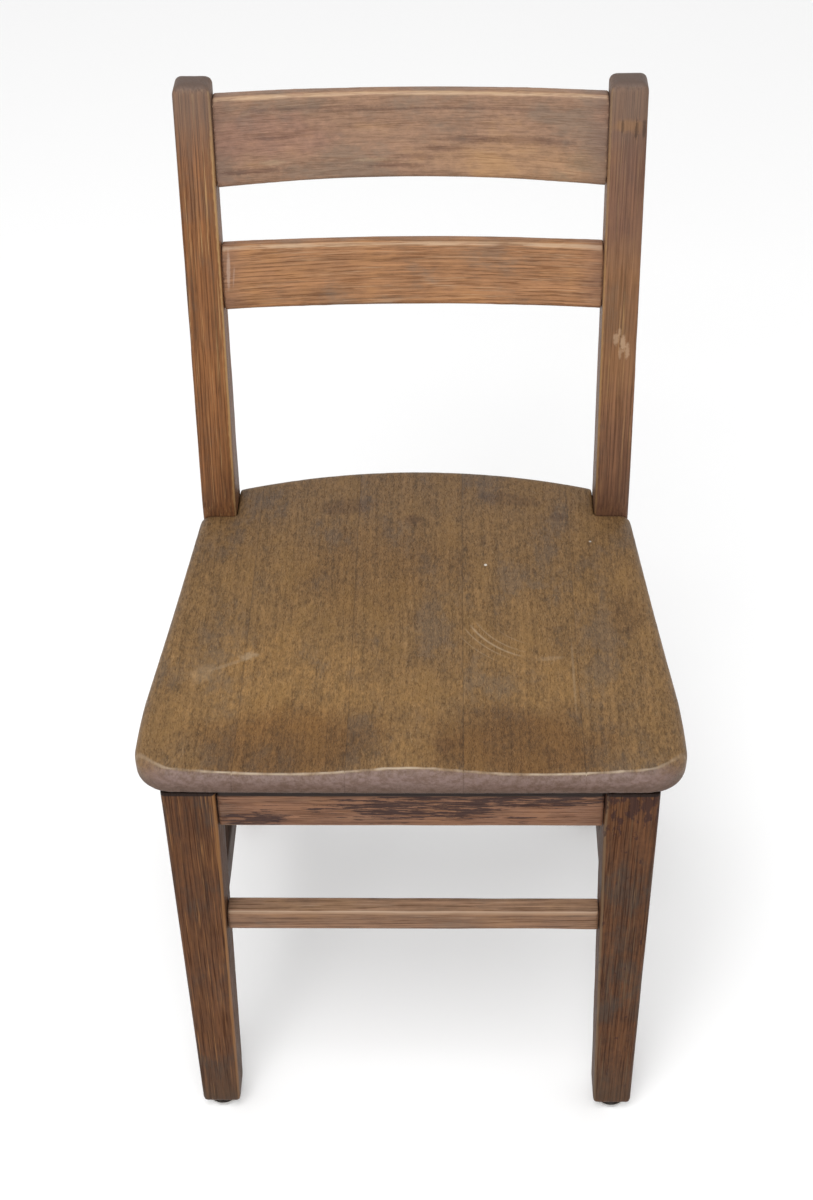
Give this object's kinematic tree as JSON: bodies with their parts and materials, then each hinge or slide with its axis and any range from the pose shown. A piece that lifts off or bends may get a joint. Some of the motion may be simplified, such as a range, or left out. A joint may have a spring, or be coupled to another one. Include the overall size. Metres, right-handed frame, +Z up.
{
  "type": "student_desk_chair",
  "caption": "Wooden school desk chair with a saddle seat, raked back posts, two bowed back rails, tapered front legs and stretchers.",
  "frame": {"origin": "bottom centre of the chair's bounding box, on the floor", "axes": "+X to the right of a person who looks at the chair's front, +Y from the front of the seat to its back, +Z up"},
  "size_m": [0.433, 0.4062, 0.8322],
  "materials": {
    "oak_back": "worn satin varnish, open oak grain along each piece",
    "oak_legs": "worn satin varnish, darker and redder, open oak grain along each piece",
    "oak_seat": "worn matte varnish, olive brown, grain from front to back",
    "raw_oak": "bare sawn oak",
    "dowel_wood": "bare turned hardwood",
    "screw_steel": "dull plain steel",
    "glide_steel": "nickel plated, worn by the floor",
    "glide_rubber": "hard black rubber, dusty"
  },
  "bodies": {
    "root": {"back_post_left": "oak_back", "back_post_right": "oak_back", "crest_rail": "oak_back", "lower_slat": "oak_back", "front_leg_left": "oak_legs", "front_leg_right": "oak_legs", "front_apron": "oak_legs", "rear_apron": "oak_legs", "side_apron_left": "oak_legs", "side_apron_right": "oak_legs", "front_stretcher": "oak_legs", "rear_stretcher": "oak_legs", "side_stretcher_left": "oak_legs", "side_stretcher_right": "oak_legs", "seat_board_left_outer": "oak_seat", "seat_board_left_inner": "oak_seat", "seat_board_middle": "oak_seat", "seat_board_right_inner": "oak_seat", "seat_board_right_outer": "oak_seat", "corner_block_front_left": "raw_oak", "corner_block_front_right": "raw_oak", "corner_block_rear_left": "raw_oak", "corner_block_rear_right": "raw_oak", "front_leg_dowels": "dowel_wood", "back_post_dowels": "dowel_wood", "stretcher_dowels": "dowel_wood", "corner_block_screws": "screw_steel", "seat_screws": "screw_steel", "back_rail_pins": "screw_steel", "glide_front_left": "glide_steel", "glide_front_right": "glide_steel", "glide_rear_left": "glide_steel", "glide_rear_right": "glide_steel", "glide_cushion_front_left": "glide_rubber", "glide_cushion_front_right": "glide_rubber", "glide_cushion_rear_left": "glide_rubber", "glide_cushion_rear_right": "glide_rubber"}
  },
  "joints": []
}
